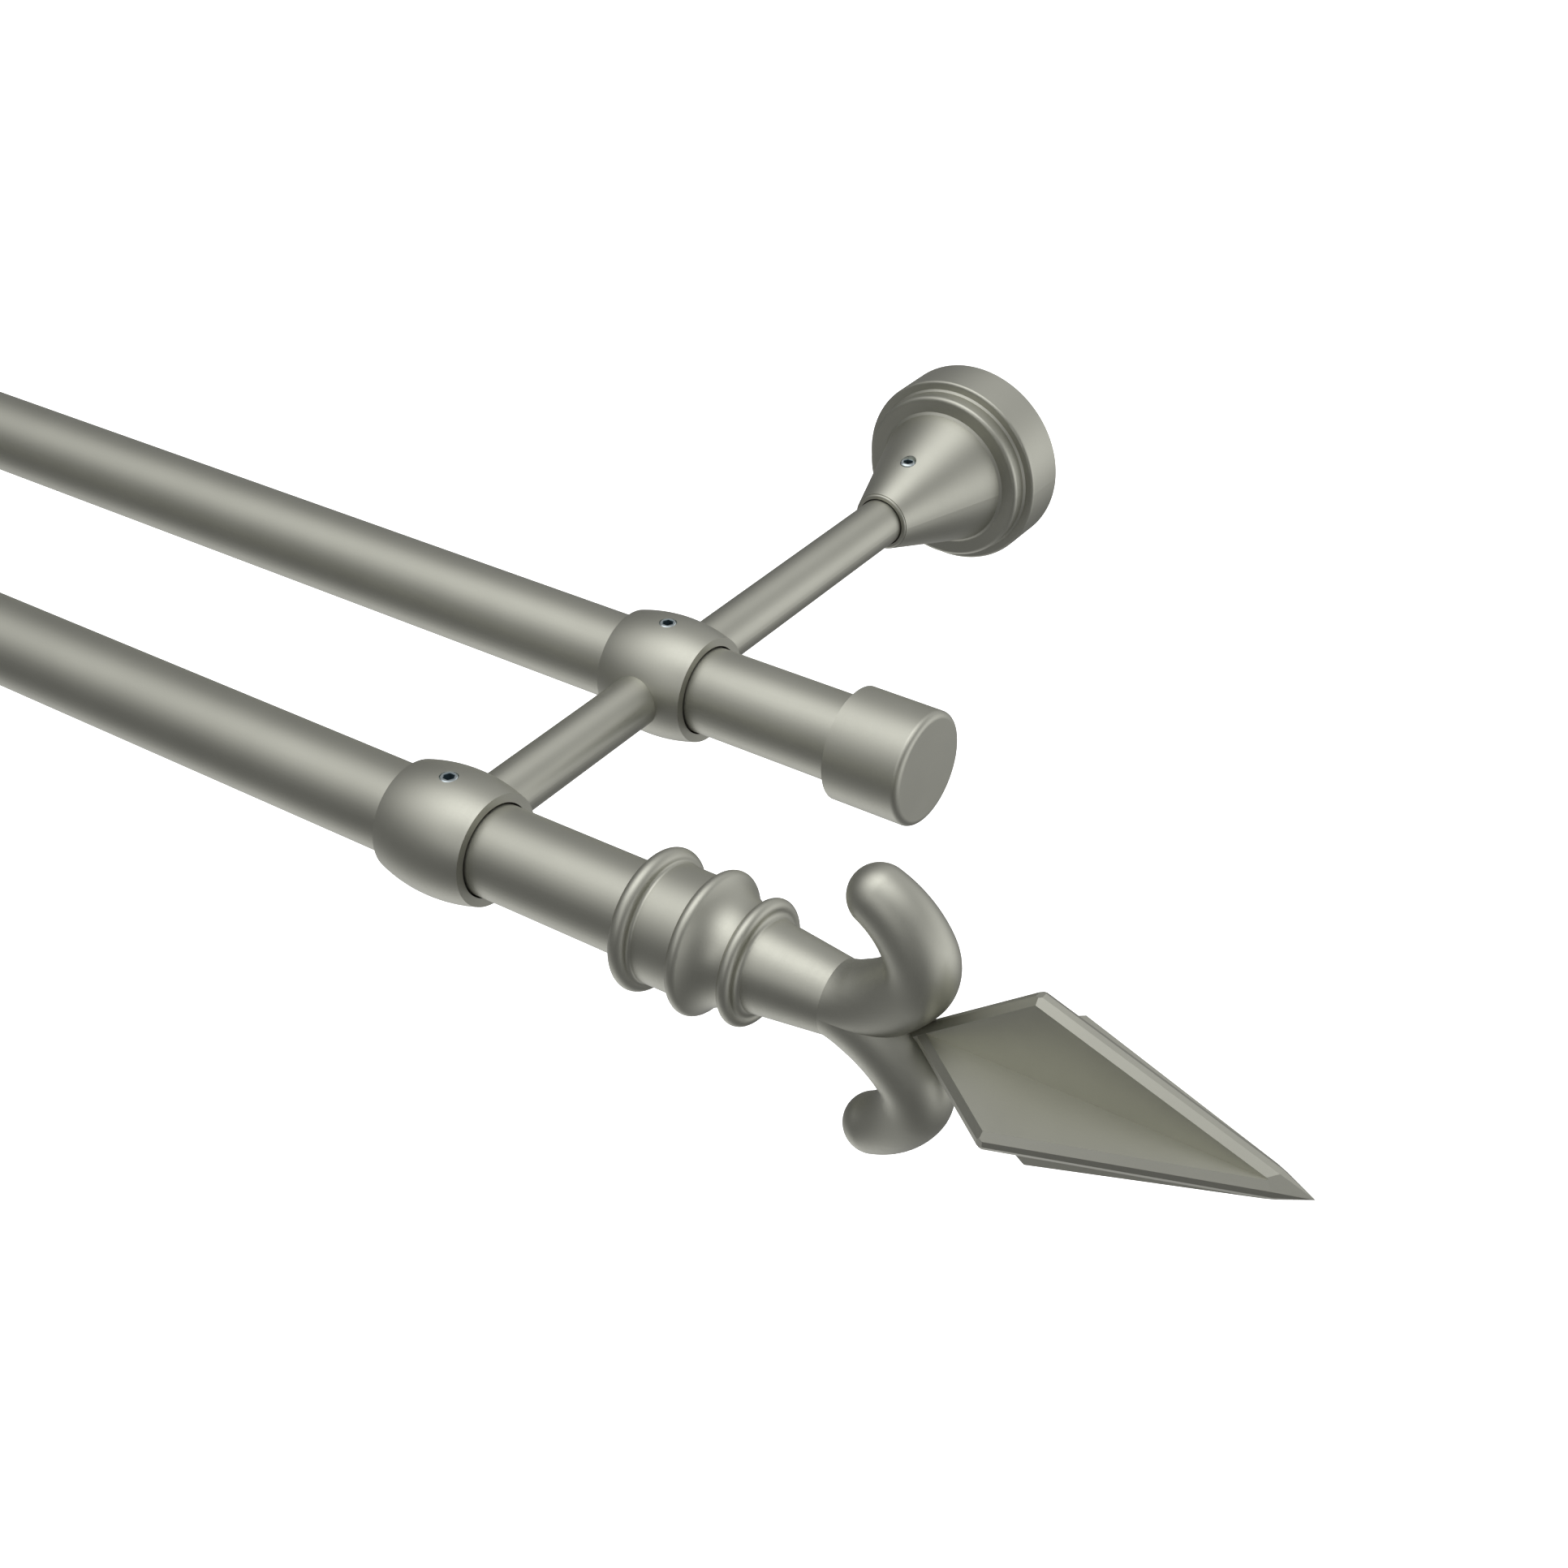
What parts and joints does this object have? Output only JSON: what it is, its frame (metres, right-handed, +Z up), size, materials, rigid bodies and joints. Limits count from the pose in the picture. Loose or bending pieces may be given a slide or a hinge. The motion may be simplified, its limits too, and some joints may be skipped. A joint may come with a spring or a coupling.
{
  "type": "curtain rod with brackets",
  "caption": "Double curtain rod on wall brackets with barrel rings, stepped cone roses, spear-and-scroll finials and plain end caps.",
  "frame": {"origin": "on the wall plane, at the centre of the rectangle of four wall screw holes, midway between the brackets and level with both rods", "axes": "+X along the rods to the right seen from the room, +Y into the wall, +Z up"},
  "size_m": [1.2436, 0.2304, 0.0666],
  "materials": {
    "rod_nickel": "satin nickel plate",
    "bracket_nickel": "satin nickel plate",
    "rose_nickel": "satin nickel plate",
    "finial_nickel": "satin nickel plate",
    "cap_nickel": "satin nickel plate",
    "grub_zinc": "bright zinc plate",
    "hidden_steel": "plain steel",
    "plug_alloy": "turned"
  },
  "bodies": {
    "wall_plates": {"right_wall_plate": "rose_nickel", "left_wall_plate": "rose_nickel"},
    "right_rose": {"right_rose": "rose_nickel"},
    "right_arm_set": {"right_rear_arm": "bracket_nickel", "right_rear_ring": "bracket_nickel", "right_front_arm": "bracket_nickel", "right_front_ring": "bracket_nickel", "right_arm_screws": "hidden_steel"},
    "left_rose": {"left_rose": "rose_nickel"},
    "left_arm_set": {"left_rear_arm": "bracket_nickel", "left_rear_ring": "bracket_nickel", "left_front_arm": "bracket_nickel", "left_front_ring": "bracket_nickel", "left_arm_screws": "hidden_steel"},
    "front_rod": {"front_rod": "rod_nickel", "right_rod_plug": "plug_alloy", "left_rod_plug": "plug_alloy"},
    "rear_rod": {"rear_rod": "rod_nickel"},
    "right_finial": {"right_finial_collar": "finial_nickel", "right_finial_stud": "hidden_steel", "right_upper_scroll": "finial_nickel", "right_lower_scroll": "finial_nickel", "right_spear_head": "finial_nickel"},
    "right_cap": {"right_end_cap": "cap_nickel"},
    "right_rose_screw": {"right_rose_grub_screw": "grub_zinc"},
    "right_rear_screw": {"right_rear_grub_screw": "grub_zinc"},
    "right_front_screw": {"right_front_grub_screw": "grub_zinc"},
    "left_finial": {"left_finial_collar": "finial_nickel", "left_finial_stud": "hidden_steel", "left_upper_scroll": "finial_nickel", "left_lower_scroll": "finial_nickel", "left_spear_head": "finial_nickel"},
    "left_cap": {"left_end_cap": "cap_nickel"},
    "left_rose_screw": {"left_rose_grub_screw": "grub_zinc"},
    "left_rear_screw": {"left_rear_grub_screw": "grub_zinc"},
    "left_front_screw": {"left_front_grub_screw": "grub_zinc"}
  },
  "joints": [
    {"name": "right_reach_slide", "type": "slide", "parent": "wall_plates", "child": "right_arm_set", "axis": [0, 1, 0], "range_m": [-0.011, 0.013]},
    {"name": "left_reach_slide", "type": "slide", "parent": "wall_plates", "child": "left_arm_set", "axis": [0, 1, 0], "range_m": [-0.011, 0.013]},
    {"name": "front_rod_slide", "type": "slide", "parent": "right_arm_set", "child": "front_rod", "axis": [1, 0, 0], "range_m": [-0.038, 0.038]},
    {"name": "rear_rod_slide", "type": "slide", "parent": "right_arm_set", "child": "rear_rod", "axis": [1, 0, 0], "range_m": [-0.038, 0.038]},
    {"name": "right_rose_turn", "type": "hinge", "parent": "wall_plates", "child": "right_rose", "pos_m": [0.431, -0.0165, 0], "axis": [0, 1, 0], "continuous": true},
    {"name": "right_finial_turn", "type": "hinge", "parent": "front_rod", "child": "right_finial", "pos_m": [0.491, -0.2105, 0], "axis": [1, 0, 0], "continuous": true},
    {"name": "right_cap_pull", "type": "slide", "parent": "rear_rod", "child": "right_cap", "axis": [1, 0, 0], "range_m": [0, 0.02]},
    {"name": "right_rose_screw_travel", "type": "slide", "parent": "right_rose", "child": "right_rose_screw", "axis": [0, 0, 1], "range_m": [0, 0.003]},
    {"name": "right_rear_screw_travel", "type": "slide", "parent": "right_arm_set", "child": "right_rear_screw", "axis": [0, 0, 1], "range_m": [0, 0.003]},
    {"name": "right_front_screw_travel", "type": "slide", "parent": "right_arm_set", "child": "right_front_screw", "axis": [0, 0, 1], "range_m": [0, 0.003]},
    {"name": "left_rose_turn", "type": "hinge", "parent": "wall_plates", "child": "left_rose", "pos_m": [-0.431, -0.0165, 0], "axis": [0, 1, 0], "continuous": true},
    {"name": "left_finial_turn", "type": "hinge", "parent": "front_rod", "child": "left_finial", "pos_m": [-0.491, -0.2105, 0], "axis": [1, 0, 0], "continuous": true},
    {"name": "left_cap_pull", "type": "slide", "parent": "rear_rod", "child": "left_cap", "axis": [-1, 0, 0], "range_m": [0, 0.02]},
    {"name": "left_rose_screw_travel", "type": "slide", "parent": "left_rose", "child": "left_rose_screw", "axis": [0, 0, 1], "range_m": [0, 0.003]},
    {"name": "left_rear_screw_travel", "type": "slide", "parent": "left_arm_set", "child": "left_rear_screw", "axis": [0, 0, 1], "range_m": [0, 0.003]},
    {"name": "left_front_screw_travel", "type": "slide", "parent": "left_arm_set", "child": "left_front_screw", "axis": [0, 0, 1], "range_m": [0, 0.003]}
  ],
  "couplings": [
    {"joint": "left_reach_slide", "follows": "right_reach_slide", "ratio": 1}
  ]
}
